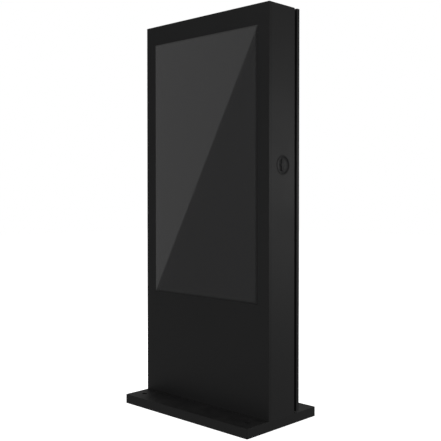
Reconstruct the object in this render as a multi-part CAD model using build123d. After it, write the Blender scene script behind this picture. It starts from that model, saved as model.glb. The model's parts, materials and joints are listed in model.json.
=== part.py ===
from build123d import *
import math
import os

# Free-standing 55 inch touchscreen kiosk: a flat folded-steel totem on a wide plinth, with a fixed front
# bezel and glass, a service door on the back, and a flush turn handle in the right side that drives two
# lock rods.  Millimetres, +Z up, front facing -Y, origin on the floor at the middle of the plinth.

# ---------------------------------------------------------------- driving dimensions
CAB_W = 810.0            # cabinet and plinth share one width
CAB_H = 1831.0           # cabinet height above the plinth
PLINTH_D = 476.0
PLINTH_H = 44.0
FRONT_Y = -97.0          # front face of the bezel
BEZEL_D = 16.0           # depth of the front bezel pan
BODY_D = 162.0           # depth of the side panels
REVEAL = 16.0            # dark gap between body and rear door
DOOR_D = 18.0
SHEET = 2.0              # sheet steel of the cabinet
LIP = 30.0               # width of the folded lips
FOLD_R = 1.0             # rounding along the folded outer edges

WINDOW_W = 682.0         # window in the bezel
WINDOW_Z = (550.0, 1783.0)
GLASS_INSET = 0.2        # how far the glass lies behind the face of the bezel
GLASS_GAP = 1.0          # round the glass in the window
GLASS_T = 6.0
GLASS_MARGIN = 20.0      # how far the stepped rim of the glass runs behind the bezel

ANCHOR_X = 345.0
ANCHOR_Y = 168.0
ANCHOR_BORE_R = 7.0      # M12 anchor bolt
ANCHOR_ACCESS_R = 12.5   # hole in the plinth top that takes the bolt head

LOCK_Z = 1168.0          # height of the turn handle, whose axis is at y = 0
CUP_FLANGE_R = 45.0
CUP_BODY_R = 40.0        # where the cup passes through the side panel
CUP_PROUD = 1.5
ROD_THROW_R = 18.0       # radius of the cam pins that drive the lock rods
HINGE_R = 6.0
HINGE_PIN_R = 3.0
DOOR_BOTTOM = 50.0

M6_HOLE_R = 3.3
M8_HOLE_R = 4.3
M10_HOLE_R = 5.5
FIT = 0.1                # radial room of a part that passes through another
SPLIT = 0.2              # gap between plates that meet

# ---------------------------------------------------------------- dimensions that follow
HALF_W = CAB_W / 2
TOP_Z = PLINTH_H + CAB_H
BODY_FRONT = FRONT_Y + BEZEL_D
BODY_REAR = BODY_FRONT + BODY_D
DOOR_FRONT = BODY_REAR + REVEAL
DOOR_REAR = DOOR_FRONT + DOOR_D
INNER_W = HALF_W - SHEET
LIP_X = HALF_W - LIP
WINDOW_HALF_W = WINDOW_W / 2
GLASS_FRONT = FRONT_Y + GLASS_INSET
GLASS_REAR = GLASS_FRONT + GLASS_T
GLASS_X = WINDOW_HALF_W + GLASS_MARGIN
GLASS_Z = (WINDOW_Z[0] - GLASS_MARGIN, WINDOW_Z[1] + GLASS_MARGIN)
WINDOW_MID_Z = sum(WINDOW_Z) / 2
HINGE_X = -HALF_W - CUP_PROUD + HINGE_R
HINGE_Y = (BODY_REAR + DOOR_FRONT) / 2
ROD_TRAVEL = 2 * ROD_THROW_R * math.sin(math.radians(45))

TURN = {"x": Rot(0, 90, 0), "y": Rot(-90, 0, 0), "z": Rot(0, 0, 0)}
nodes = {}


# ---------------------------------------------------------------- helpers
def block(x, y, z):
    """A box from three (low, high) pairs."""
    size = [high - low for low, high in (x, y, z)]
    middle = [(low + high) / 2 for low, high in (x, y, z)]
    return Pos(*middle) * Box(*size)


def place(axis, along, at):
    """Location whose coordinate on axis is along, and whose other two coordinates are at."""
    coordinates = list(at)
    coordinates.insert("xyz".index(axis), along)
    return Pos(*coordinates)


def rod(axis, radius, span, at):
    """A cylinder along axis over span = (start, end), through the other two coordinates."""
    start, end = span
    return place(axis, (start + end) / 2, at) * TURN[axis] * Cylinder(radius, end - start)


def tube(axis, radii, span, at):
    """A cylinder along axis with a round hole: radii = (outer, inner)."""
    return rod(axis, radii[0], span, at) - rod(axis, radii[1], span, at)


def cone(axis, radii, span, at):
    """A truncated cone along axis: radii = (at start, at end)."""
    start, end = span
    return place(axis, (start + end) / 2, at) * TURN[axis] * Cone(radii[0], radii[1], end - start)


def hexagon(axis, across_flats, span, at):
    start, end = span
    prism = extrude(RegularPolygon(across_flats / 2, 6, major_radius=False), (end - start) / 2, both=True)
    return place(axis, (start + end) / 2, at) * TURN[axis] * prism


def nut(axis, size, span, at):
    """A hexagon nut for a thread of diameter size, with a little room round the thread."""
    return hexagon(axis, 1.7 * size, span, at) - rod(axis, size / 2 + 0.05, span, at)


def ring_xz(outer, inner, y):
    """A rectangular ring in the XZ plane; outer and inner are (half width, (low z, high z))."""
    return block(both(outer[0]), y, outer[1]) - block(both(inner[0]), y, inner[1])


def both(value):
    return (-value, value)


def on_side(side, near, far):
    """The (low, high) pair between near and far, measured outwards on side -1 or 1."""
    return tuple(sorted((side * near, side * far)))


def around(middle, half):
    return (middle - half, middle + half)


def inset(span, margin):
    return (span[0] + margin, span[1] - margin)


def keep(name, *solids):
    """Collects the solids of one node."""
    nodes[name] = nodes.get(name, []) + list(solids)


# ---------------------------------------------------------------- plinth
RAIL_Y = 56.0            # the two long tubes in the plinth, under the cabinet bolts
RAIL_HALF = 30.0
RAIL_Z = (3.0, 39.0)
TUBE_WALL = 3.0
OUTRIGGER_HALF = 25.0
PLINTH_TOP_T = 5.0
SKIRT_T = 4.0
SKIRT_CORNER_R = 3.0
SKIRT_EDGE_R = 1.5
SLEEVE_R = 15.0          # spacer tubes welded in where the floor anchors pass
CABLE_HOLE_R = 18.0
BOLT_X = (-300.0, 0.0, 300.0)
FLOOR_T = 3.0
FLOOR_TOP = PLINTH_H + FLOOR_T
BASE_WASHER = (11.0, 2.0)     # radius, thickness
BASE_HEAD = (16.0, 6.4)       # across flats, height
BASE_SHANK_R = 5.0
BASE_SHANK_LOW = 18.0
BASE_NUT_Z = (28.0, 36.0)


def plinth():
    half_d = PLINTH_D / 2
    top_plate = (PLINTH_H - PLINTH_TOP_T, PLINTH_H)
    shell = block(both(HALF_W), both(half_d), (0, PLINTH_H))
    shell = fillet(shell.edges().filter_by(Axis.Z), SKIRT_CORNER_R)
    shell = fillet(shell.edges().group_by(Axis.Z)[-1], SKIRT_EDGE_R)
    shell -= block(both(HALF_W - SKIRT_T), both(half_d - SKIRT_T), (0, top_plate[0]))
    shell -= rod("z", CABLE_HOLE_R + FIT, top_plate, (0, 0))
    for x in BOLT_X:
        for y in both(RAIL_Y):
            shell -= rod("z", M10_HOLE_R, top_plate, (x, y))
    for x in both(ANCHOR_X):
        for y in both(ANCHOR_Y):
            shell -= rod("z", ANCHOR_ACCESS_R, top_plate, (x, y))
            keep("plinth_frame", tube("z", (SLEEVE_R, ANCHOR_BORE_R), (0, top_plate[0]), (x, y)))
    keep("plinth_shell", shell)
    plinth_tubes(half_d)
    base_bolts()


def plinth_tubes(half_d):
    """Two long tubes with an outrigger to the skirt at each anchor."""
    hollow_z = inset(RAIL_Z, TUBE_WALL)
    length = both(HALF_W - SKIRT_T - 3)
    for y in both(RAIL_Y):
        rail = block(length, around(y, RAIL_HALF), RAIL_Z)
        rail -= block(length, around(y, RAIL_HALF - TUBE_WALL), hollow_z)
        for x in BOLT_X:
            rail -= rod("z", M10_HOLE_R, (hollow_z[1], RAIL_Z[1]), (x, y))
        keep("plinth_frame", rail)
    for x in both(ANCHOR_X):
        for side in (-1, 1):
            ends = on_side(side, RAIL_Y + RAIL_HALF, half_d - SKIRT_T)
            outrigger = block(around(x, OUTRIGGER_HALF), ends, RAIL_Z)
            outrigger -= block(around(x, OUTRIGGER_HALF - TUBE_WALL), ends, hollow_z)
            outrigger -= rod("z", SLEEVE_R + FIT, RAIL_Z, (x, side * ANCHOR_Y))
            keep("plinth_frame", outrigger)


def base_bolts():
    washer_top = FLOOR_TOP + BASE_WASHER[1]
    for x in BOLT_X:
        for y in both(RAIL_Y):
            bolt = hexagon("z", BASE_HEAD[0], (washer_top, washer_top + BASE_HEAD[1]), (x, y))
            bolt += rod("z", BASE_WASHER[0], (FLOOR_TOP, washer_top), (x, y))
            bolt += rod("z", BASE_SHANK_R, (BASE_SHANK_LOW, FLOOR_TOP), (x, y))
            keep("base_bolts", bolt)
            keep("base_bolts", nut("z", 2 * BASE_SHANK_R, BASE_NUT_Z, (x, y)))


# ---------------------------------------------------------------- cabinet body
STUD_X = HALF_W - 15.0
STUD_Z = [120.0 + 340.0 * i for i in range(6)]
RETURN_LIP = 12.0        # second fold of the rear lip
UPRIGHT_X = (376.0, 402.0)
UPRIGHT_T = 2.5
UPRIGHT_REAR = -36.0
CROSSBAR_Z = (760.0, 1560.0)
CROSSBAR_Y = (-36.0, -22.0)
CROSSBAR_HALF_H = 20.0
CROSSBAR_BOLT_X = 389.0
CLAMP_HALF = 44.0        # the lock body, which clamps the cup to the side panel
SEAL_W = 8.0
SEAL_SQUEEZE = 0.3       # how far the seal stops short of the closed door
GROMMET_BORE_R = 12.0
GROMMET_LIPS_R = (20.0, 24.0)


def side_panel(side):
    """A folded side: a web with a lip at front and back and a return on the rear lip."""
    web = block(on_side(side, INNER_W, HALF_W), (BODY_FRONT, BODY_REAR), (PLINTH_H, TOP_Z))
    inner_z = (FLOOR_TOP, TOP_Z - SHEET)
    lip_x = on_side(side, LIP_X, INNER_W)
    front_lip_y = (BODY_FRONT, BODY_FRONT + SHEET)
    front_lip = block(lip_x, front_lip_y, inner_z)
    for z in STUD_Z:
        front_lip -= rod("y", M6_HOLE_R, front_lip_y, (side * STUD_X, z))
    rear_lip = block(lip_x, (BODY_REAR - SHEET, BODY_REAR), inner_z)
    return_lip = block(on_side(side, LIP_X, LIP_X + SHEET), (BODY_REAR - RETURN_LIP, BODY_REAR - SHEET),
                       inner_z)
    panel = web + front_lip + rear_lip + return_lip
    outer = panel.edges().filter_by(Axis.Z).group_by(Axis.X)[-1 if side > 0 else 0]
    panel = fillet(outer, FOLD_R)
    if side > 0:
        panel -= rod("x", CUP_BODY_R + 0.3, (INNER_W, HALF_W), (0, LOCK_Z))
    return panel


def upright(side):
    """A C channel behind the front lip that carries the bezel, the display and the equipment plate."""
    front = BODY_FRONT + SHEET
    z = (FLOOR_TOP, TOP_Z - SHEET)
    channel = block(on_side(side, *UPRIGHT_X), (front, UPRIGHT_REAR), z)
    channel -= block(on_side(side, UPRIGHT_X[0], UPRIGHT_X[1] - UPRIGHT_T),
                     inset((front, UPRIGHT_REAR), UPRIGHT_T), z)
    for stud_z in STUD_Z:
        channel -= rod("y", M6_HOLE_R, (front, front + UPRIGHT_T), (side * STUD_X, stud_z))
    rear_y = (UPRIGHT_REAR - UPRIGHT_T, UPRIGHT_REAR)
    for bar_z in CROSSBAR_Z:
        channel -= rod("y", M8_HOLE_R, rear_y, (side * CROSSBAR_BOLT_X, bar_z))
    if side > 0:
        notch_half = CLAMP_HALF + 4
        channel -= block(UPRIGHT_X, (-notch_half, UPRIGHT_REAR), around(LOCK_Z, notch_half))
    return channel


def cabinet():
    for name, side in (("left", -1), ("right", 1)):
        keep(f"side_panel_{name}", side_panel(side))
        keep(f"upright_{name}", upright(side))
    top_and_bottom()
    cable_grommet()

    for z in CROSSBAR_Z:
        bar = block(both(UPRIGHT_X[1]), CROSSBAR_Y, around(z, CROSSBAR_HALF_H))
        bar -= block(both(UPRIGHT_X[1]), inset(CROSSBAR_Y, SHEET), around(z, CROSSBAR_HALF_H - SHEET))
        for x in both(CROSSBAR_BOLT_X) + both(RAIL_X):
            bar -= rod("y", M8_HOLE_R, CROSSBAR_Y, (x, z))
        keep("display_crossbars", bar)

    seal_out = 9.0       # how far the seal's outer edge lies outside the lips of the top and bottom panels
    outer_z = (FLOOR_TOP + LIP - seal_out, TOP_Z - LIP + seal_out)
    seal_y = (BODY_REAR, DOOR_FRONT - SEAL_SQUEEZE)
    keep("door_seal", ring_xz((LIP_X + SEAL_W, outer_z), (LIP_X, inset(outer_z, SEAL_W)), seal_y))


def top_and_bottom():
    top = block(both(INNER_W), (BODY_FRONT, BODY_REAR), (TOP_Z - SHEET, TOP_Z))
    bottom = block(both(INNER_W), (BODY_FRONT, BODY_REAR), (PLINTH_H, FLOOR_TOP))
    for y in ((BODY_FRONT, BODY_FRONT + SHEET), (BODY_REAR - SHEET, BODY_REAR)):
        top += block(both(LIP_X - SPLIT), y, (TOP_Z - SHEET - LIP, TOP_Z - SHEET))
        bottom += block(both(LIP_X - SPLIT), y, (FLOOR_TOP, FLOOR_TOP + LIP))
    bottom -= rod("z", CABLE_HOLE_R + FIT, (PLINTH_H, FLOOR_TOP), (0, 0))
    for x in BOLT_X:
        for y in both(RAIL_Y):
            bottom -= rod("z", M10_HOLE_R, (PLINTH_H, FLOOR_TOP), (x, y))
    keep("top_panel", top)
    keep("bottom_panel", bottom)


def cable_grommet():
    """A rubber bush through the cabinet floor and the plinth top, with a tapered lip at each end."""
    low, high = PLINTH_H - PLINTH_TOP_T, FLOOR_TOP
    small, large = GROMMET_LIPS_R
    upper_lip, lower_lip = 5, 4
    grommet = rod("z", CABLE_HOLE_R, (low, high), (0, 0))
    grommet += cone("z", (large, small), (high, high + upper_lip), (0, 0))
    grommet += cone("z", (small, large), (low - lower_lip, low), (0, 0))
    grommet -= rod("z", GROMMET_BORE_R, (low - 2 * lower_lip, high + 2 * upper_lip), (0, 0))
    keep("cable_grommet", grommet)


# ---------------------------------------------------------------- front bezel and glass
BEZEL_STUD_R = 3.0
STUD_REACH = 12.0        # how far the studs that hold the bezel reach into the body
GLASS_STUD_Z = [WINDOW_Z[0] + 90 + 350 * i for i in range(4)]
GLASS_STUD_X = (-220.0, 0.0, 220.0)
NUT_H = 5.0
RETAINER_X = (346.0, 374.0)
RETAINER_T = 2.0
RETAINER_STUD = 27.0     # from the window edge to the studs that hold the retainers
FILM_T = 0.5
FILM_MARGIN = 4.0        # how far the touch film runs behind the bezel
TAIL_X = (140.0, 160.0)  # flat tail of the touch film, which passes under the display
TAIL_Z = (WINDOW_Z[0] - 5.1, WINDOW_Z[0] - 4.6)
TAIL_PLUG_Y = (-60.0, -52.0)
TAIL_PLUG_Z = 538.0


def bezel_pan():
    pan = block(both(HALF_W), (FRONT_Y, BODY_FRONT), (PLINTH_H, TOP_Z))
    pan = fillet(pan.edges().group_by(Axis.Y)[0], FOLD_R)
    pan -= block(both(INNER_W), (FRONT_Y + SHEET, BODY_FRONT), inset((PLINTH_H, TOP_Z), SHEET))
    return pan - block(both(WINDOW_HALF_W), (FRONT_Y, BODY_FRONT), WINDOW_Z)


def bezel_members():
    """The four folded members that are welded edge to edge into the bezel: (x, z) of each."""
    low, high = WINDOW_Z
    return [(both(HALF_W), (PLINTH_H, low)), (both(HALF_W), (high, TOP_Z)),
            (on_side(-1, WINDOW_HALF_W, HALF_W), WINDOW_Z), (on_side(1, WINDOW_HALF_W, HALF_W), WINDOW_Z)]


def front():
    low, high = WINDOW_Z
    body_studs = [(x, z) for x in both(STUD_X) for z in STUD_Z]
    glass_studs = [(x, z) for x in both(WINDOW_HALF_W + RETAINER_STUD) for z in GLASS_STUD_Z]
    glass_studs += [(x, z) for x in GLASS_STUD_X for z in (low - RETAINER_STUD, high + RETAINER_STUD)]
    pan = bezel_pan()
    for studs, end in ((body_studs, BODY_FRONT + STUD_REACH), (glass_studs, BODY_FRONT)):
        for at in studs:
            pan += rod("y", BEZEL_STUD_R, (FRONT_Y + SHEET, end), at)
    for x, z in bezel_members():
        keep("front_bezel", pan & block(x, (FRONT_Y, BODY_FRONT + STUD_REACH), z))

    body_nut = BODY_FRONT + SHEET + UPRIGHT_T
    glass_nut = GLASS_REAR + RETAINER_T
    for start, studs in ((body_nut, body_studs), (glass_nut, glass_studs)):
        for at in studs:
            keep("front_nuts", nut("y", 2 * BEZEL_STUD_R, (start, start + NUT_H), at))

    glass = block(both(GLASS_X), (FRONT_Y + SHEET, GLASS_REAR), GLASS_Z)
    glass += block(both(WINDOW_HALF_W - GLASS_GAP), (GLASS_FRONT, FRONT_Y + SHEET),
                   inset(WINDOW_Z, GLASS_GAP))
    keep("cover_glass", glass)
    touch_film()
    glass_retainers(glass_studs)


def touch_film():
    """The film behind the glass, its flat tail with a plug, and the foam gasket behind the film."""
    low, high = WINDOW_Z
    film_y = (GLASS_REAR, GLASS_REAR + FILM_T)
    film_x = both(WINDOW_HALF_W + FILM_MARGIN)
    film_z = (low - FILM_MARGIN, high + FILM_MARGIN)
    film = block(film_x, film_y, film_z)
    film += block(TAIL_X, film_y, (TAIL_Z[0], film_z[0]))
    film += block(TAIL_X, (GLASS_REAR, TAIL_PLUG_Y[1]), TAIL_Z)
    film += block((TAIL_X[0] - 3, TAIL_X[1] + 3), TAIL_PLUG_Y, (TAIL_PLUG_Z, TAIL_Z[1]))
    keep("touch_sensor", film)
    gasket_w = FILM_MARGIN + 1
    keep("glass_gasket", ring_xz((film_x[1], film_z), (film_x[1] - gasket_w, inset(film_z, gasket_w)),
                                 (film_y[1], LCD_FRONT)))


def glass_retainers(studs):
    """Four strips that press the rim of the glass to the back of the bezel."""
    low, high = WINDOW_Z
    y = (GLASS_REAR, GLASS_REAR + RETAINER_T)
    near, far = (x - WINDOW_HALF_W for x in RETAINER_X)
    strips = [block(on_side(side, *RETAINER_X), y, (low - near, high + near)) for side in (-1, 1)]
    strips += [block(both(RETAINER_X[1]), y, (low - far, low - near - SPLIT)),
               block(both(RETAINER_X[1]), y, (high + near + SPLIT, high + far))]
    for strip in strips:
        for at in studs:
            strip -= rod("y", M6_HOLE_R, y, at)
        keep("glass_retainers", strip)


# ---------------------------------------------------------------- display module
LCD_FRONT = -88.0
LCD_REAR = -40.0
LCD_HALF_W = 356.0
LCD_HALF_H = 621.0
ACTIVE = (680.4, 1209.6)  # a 55 inch 16:9 panel standing upright
CELL_BORDER = 6.0         # of the glass cell round the picture
CELL_T = 4.0
CELL_LEDGE = 14.0         # the frame behind the cell's rim
CHASSIS_WALL = 1.5
GROOVE_PITCH = 132.0      # shallow stiffening fields pressed into the back of the chassis
GROOVE_H = 66.0
RAIL_X = 200.0            # mounting rails on the standard 400 mm hole spacing
RAIL_T = 4.0
RAIL_HALF_W = 20.0
COVER_HALF_W = 160.0
COVER_Z = (870.0, 1440.0)
COVER_REAR = -20.0
COVER_T = 2.0
SLOT_PITCH = 12.5
SLOT_HALF_W = 2.5
SLOTS = 21
VESA_HOLE_Z = 200.0       # the display's mounting holes, above and below its middle
VESA_HEAD = (10.0, 4.0)   # across flats, height
FRAME_HEAD = (13.0, 5.3)
FRAME_BOLT_R = 4.0


def lcd_chassis():
    z = around(WINDOW_MID_Z, LCD_HALF_H)
    cell_half_w = ACTIVE[0] / 2 + CELL_BORDER
    cell_z = around(WINDOW_MID_Z, ACTIVE[1] / 2 + CELL_BORDER)
    cell_rear = LCD_FRONT + CELL_T
    hollow_front = cell_rear + 2
    keep("lcd_panel", block(both(cell_half_w), (LCD_FRONT + 0.5, cell_rear), cell_z))

    chassis = block(both(LCD_HALF_W), (LCD_FRONT, LCD_REAR), z)
    chassis -= block(both(cell_half_w + 0.5), (LCD_FRONT, cell_rear), inset(cell_z, -0.5))
    chassis -= block(both(cell_half_w - CELL_LEDGE), (cell_rear, hollow_front), inset(cell_z, CELL_LEDGE))
    chassis -= block(both(LCD_HALF_W - CHASSIS_WALL), (hollow_front, LCD_REAR - CHASSIS_WALL),
                     inset(z, CHASSIS_WALL))
    for i in range(9):
        groove_z = z[0] + 60 + GROOVE_PITCH * i
        under_cover = COVER_Z[0] - 70 < groove_z < COVER_Z[1] + 10
        if not under_cover:
            groove = block(both(RAIL_X - 30), (LCD_REAR - 0.6, LCD_REAR), (groove_z, groove_z + GROOVE_H))
            chassis -= fillet(groove.edges().filter_by(Axis.Y), 12)
    keep("lcd_chassis", chassis)


def lcd_rear_cover():
    """The box over the display's boards, open at the front, with two rows of cooling slots."""
    wall = 3.0
    cover = block(both(COVER_HALF_W), (LCD_REAR, COVER_REAR), COVER_Z)
    cover = chamfer(cover.edges().group_by(Axis.Y)[-1], 2)
    cover -= block(both(COVER_HALF_W - wall), (LCD_REAR, COVER_REAR - COVER_T), inset(COVER_Z, wall))
    upper_slots = (COVER_Z[1] - 90, COVER_Z[1] - 30)
    lower_slots = (COVER_Z[0] + 60, COVER_Z[0] + 120)
    for i in range(SLOTS):
        x = around(SLOT_PITCH * (i - (SLOTS - 1) / 2), SLOT_HALF_W)
        for slot_z in (upper_slots, lower_slots):
            cover -= block(x, (COVER_REAR - COVER_T, COVER_REAR), slot_z)
    keep("lcd_rear_cover", cover)


def display_mounts():
    """Two rails on the back of the display, and the bolts that hold them to the crossbars."""
    rail_y = (LCD_REAR, LCD_REAR + RAIL_T)
    for x in both(RAIL_X):
        rail = block(around(x, RAIL_HALF_W), rail_y, inset(CROSSBAR_Z, -25))
        for bar_z in CROSSBAR_Z:
            rail -= rod("y", M8_HOLE_R, rail_y, (x, bar_z))
        for hole_z in around(WINDOW_MID_Z, VESA_HOLE_Z):
            rail -= rod("y", M6_HOLE_R, rail_y, (x, hole_z))
            head_y = (rail_y[1], rail_y[1] + VESA_HEAD[1])
            keep("display_bolts", hexagon("y", VESA_HEAD[0], head_y, (x, hole_z)))
        keep("display_brackets", rail)

    bar_rear = CROSSBAR_Y[1]
    nut_y = (UPRIGHT_REAR - 9, UPRIGHT_REAR - UPRIGHT_T)
    for z in CROSSBAR_Z:
        for x in both(RAIL_X) + both(CROSSBAR_BOLT_X):
            at_upright = abs(x) == CROSSBAR_BOLT_X
            start = nut_y[0] if at_upright else LCD_REAR + 0.5
            bolt = rod("y", FRAME_BOLT_R, (start, bar_rear), (x, z))
            bolt += hexagon("y", FRAME_HEAD[0], (bar_rear, bar_rear + FRAME_HEAD[1]), (x, z))
            keep("display_bolts", bolt)
            if at_upright:
                keep("display_bolts", nut("y", 2 * FRAME_BOLT_R, nut_y, (x, z)))


# ---------------------------------------------------------------- equipment below the display
PLATE_HALF_W = 400.0
PLATE_Y = (-36.0, -34.0)
PLATE_Z = (110.0, 490.0)
PLATE_SLOT_X = (-320.0, 310.0)      # slots for cable ties
PLATE_SLOT_Z = (150.0, 250.0, 350.0, 450.0)
PLAYER_X = (70.0, 270.0)
PLAYER_Y = (-34.0, 14.0)
PLAYER_Z = (290.0, 470.0)
FIN_PITCH = 11.0
FIN_GAP = 7.0
FIN_DEPTH = 12.0
FIN_COUNT = 14
PORTS = ((90, 16), (115, 16), (145, 20), (180, 24), (220, 30))  # start and width of the sockets underneath
BUTTON_AT = (250.0, 450.0)
BUTTON_R = 5.0
BUTTON_TRAVEL = 1.5
BUTTON_DEPTH = 5.0
PSU_X = (-260.0, -60.0)
PSU_Y = (-34.0, 6.0)
PSU_Z = (360.0, 460.0)
PSU_STEP = 22.0                     # the recess with the screw terminals
PSU_HOLE_R = 3.5
DIN_X = (-260.0, 40.0)
DIN_Y = (-34.0, -25.0)
DIN_T = 1.5
DIN_HALF_FOOT = 12.5
DIN_HALF_H = 17.5
RAIL_MID_Z = 220.0
BREAKER_X = (-200.0, -164.0)
BREAKER_Y = (-25.0, 26.0, 34.0)     # back, shoulder, nose
BREAKER_HALF_H = 42.0
BREAKER_NOSE_HALF_H = 22.0
TOGGLE_Y = 32.0
TOGGLE_R = 6.0
TOGGLE_HALF_W = 7.0
TOGGLE_REST = 30.0                  # degrees of the lever above level
TERMINAL_X = (-140.0, -60.0)
TERMINAL_Y = (-25.0, 20.0)
TERMINAL_COUNT = 8
CONTROLLER_X = (110.0, 210.0)
CONTROLLER_Y = (-34.0, -12.0)
CONTROLLER_Z = (180.0, 240.0)


def media_player():
    face = PLAYER_Y[1]
    player = block(PLAYER_X, PLAYER_Y, PLAYER_Z)
    player = fillet(player.edges().filter_by(Axis.Y), 6)
    for i in range(FIN_COUNT):
        x = PLAYER_X[0] + 12 + FIN_PITCH * i
        player -= block((x, x + FIN_GAP), (face - FIN_DEPTH, face), inset(PLAYER_Z, 8))
    for x, width in PORTS:
        player -= block((x, x + width), (-20, -8), (PLAYER_Z[0], PLAYER_Z[0] + 6))
    player -= rod("y", BUTTON_R + 0.3, (face - BUTTON_DEPTH - 2 * BUTTON_TRAVEL, face), BUTTON_AT)
    keep("media_player", player)
    button = rod("y", BUTTON_R, (face - BUTTON_DEPTH, face + BUTTON_TRAVEL), BUTTON_AT)
    keep("media_player_button", fillet(button.edges().group_by(Axis.Y)[-1], 0.5))


def power_supply():
    """A vented metal case with a row of screw terminals in a recess at one end."""
    recess_y = (PSU_Y[1] - PSU_STEP, PSU_Y[1])
    psu = block(PSU_X, PSU_Y, PSU_Z)
    psu -= block((PSU_X[0], PSU_X[0] + PSU_STEP), recess_y, PSU_Z)
    for i in range(12):
        for j in range(5):
            hole = (PSU_X[0] + 38 + 13 * i, PSU_Z[0] + 14 + 18 * j)
            psu -= rod("y", PSU_HOLE_R, (PSU_Y[1] - 3, PSU_Y[1]), hole)
    for i in range(7):
        screw = (PSU_X[0] + PSU_STEP / 2, PSU_Z[0] + 11 + 13 * i)
        psu += rod("y", 3.6, (recess_y[0], recess_y[0] + 4), screw)
    keep("power_supply", psu)


def din_rail():
    rail = block(DIN_X, (DIN_Y[0], DIN_Y[0] + DIN_T), around(RAIL_MID_Z, DIN_HALF_FOOT))
    for side in (-1, 1):
        web = sorted((RAIL_MID_Z + side * DIN_HALF_FOOT, RAIL_MID_Z + side * (DIN_HALF_FOOT + DIN_T)))
        wing = sorted((RAIL_MID_Z + side * DIN_HALF_FOOT, RAIL_MID_Z + side * DIN_HALF_H))
        rail += block(DIN_X, (DIN_Y[0], DIN_Y[1] - DIN_T), web)
        rail += block(DIN_X, (DIN_Y[1] - DIN_T, DIN_Y[1]), wing)
    keep("din_rail", rail)


def breaker():
    back, shoulder, nose = BREAKER_Y
    middle = sum(BREAKER_X) / 2
    axis = (TOGGLE_Y, RAIL_MID_Z)
    body = block(BREAKER_X, (back, shoulder), around(RAIL_MID_Z, BREAKER_HALF_H))
    body += block(BREAKER_X, (shoulder, nose), around(RAIL_MID_Z, BREAKER_NOSE_HALF_H))
    body -= rod("x", TOGGLE_R + 0.4, around(middle, TOGGLE_HALF_W + 1), axis)
    for x in inset(BREAKER_X, 9):
        for z in around(RAIL_MID_Z, 34):
            body -= rod("y", 3.5, (shoulder - 6, shoulder), (x, z))
    keep("breaker", body)
    lever = Rot(TOGGLE_REST, 0, 0) * Pos(0, 9, 0) * Box(12, 14, 5)
    toggle = rod("x", TOGGLE_R, around(middle, TOGGLE_HALF_W), axis)
    keep("breaker_toggle", toggle + Pos(middle, *axis) * lever)


def terminal_block():
    pitch = (TERMINAL_X[1] - TERMINAL_X[0]) / TERMINAL_COUNT
    face = TERMINAL_Y[1]
    height = around(RAIL_MID_Z, 22)
    terminals = block(TERMINAL_X, TERMINAL_Y, height)
    for i in range(TERMINAL_COUNT):
        edge = TERMINAL_X[0] + pitch * i
        for z in around(RAIL_MID_Z, 13):
            terminals -= rod("y", 3, (face - 8, face), (edge + pitch / 2, z))
        if i:
            terminals -= block(around(edge, 0.4), (face - 6, face), height)
    keep("terminal_block", terminals)


def equipment():
    plate = block(both(PLATE_HALF_W), PLATE_Y, PLATE_Z)
    for x in PLATE_SLOT_X:
        for z in PLATE_SLOT_Z:
            plate -= block(around(x, 15), PLATE_Y, around(z, 4))
    keep("equipment_plate", plate)
    media_player()
    power_supply()
    din_rail()
    breaker()
    terminal_block()
    controller = block(CONTROLLER_X, CONTROLLER_Y, CONTROLLER_Z)
    keep("touch_controller", fillet(controller.edges().filter_by(Axis.Y), 4))


# ---------------------------------------------------------------- exhaust fans
FAN_X = 130.0
FAN_Z = 1765.0
FAN_Y = (47.0, 72.0)
FAN_HALF = 60.0
FAN_BORE_R = 57.5
FAN_SCREW = 52.5         # corner holes, from the fan's middle
FAN_HOLE_R = 2.2
ROTOR_Y = (51.5, 70.0)
ROTOR_R = 55.5
HUB_R = 19.0
BLADES = 7
BLADE_PITCH = 48.0       # degrees between a blade and the plane of the rotor
BLADE_SIZE = (40.0, 1.8, 24.0)
FAN_SHAFT_R = 2.0
MOTOR_R = 20.0
MOTOR_Y = (FAN_Y[0] + 0.5, FAN_Y[0] + 3.5)
STRUTS = 4
STRUT_MID_R = 39.0       # the struts' middle, from the fan's axis
GUARD_Y = (FAN_Y[1], FAN_Y[1] + 1.5)
GUARD_RINGS = (22.0, 32.0, 42.0, 52.0)
GUARD_WIRE_HALF = 1.2
BRACKET_HALF_W = 300.0
BRACKET_BELOW = 75.0     # from the fans' axis to the bracket's lower edge
BRACKET_FLANGE = 28.0


def fan_rotor(x):
    hub = rod("y", HUB_R, ROTOR_Y, (x, FAN_Z))
    hub = fillet(hub.edges().group_by(Axis.Y)[-1], 2)
    hub += rod("y", FAN_SHAFT_R, (FAN_Y[0] + 1, ROTOR_Y[0]), (x, FAN_Z))
    for i in range(BLADES):
        blade = Pos(HUB_R - 3 + BLADE_SIZE[0] / 2, 0, 0) * Rot(BLADE_PITCH, 0, 0) * Box(*BLADE_SIZE)
        hub += Pos(x, sum(ROTOR_Y) / 2, FAN_Z) * Rot(0, 360 / BLADES * i, 0) * blade
    return hub & rod("y", ROTOR_R, (FAN_Y[0], ROTOR_Y[1]), (x, FAN_Z))


def struts(x, y, size):
    """Four bars on the diagonals of the fan at x, in the middle of the y span."""
    return [Pos(x, sum(y) / 2, FAN_Z) * Rot(0, 45 + 360 / STRUTS * i, 0) * Pos(STRUT_MID_R, 0, 0) * Box(*size)
            for i in range(STRUTS)]


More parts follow.
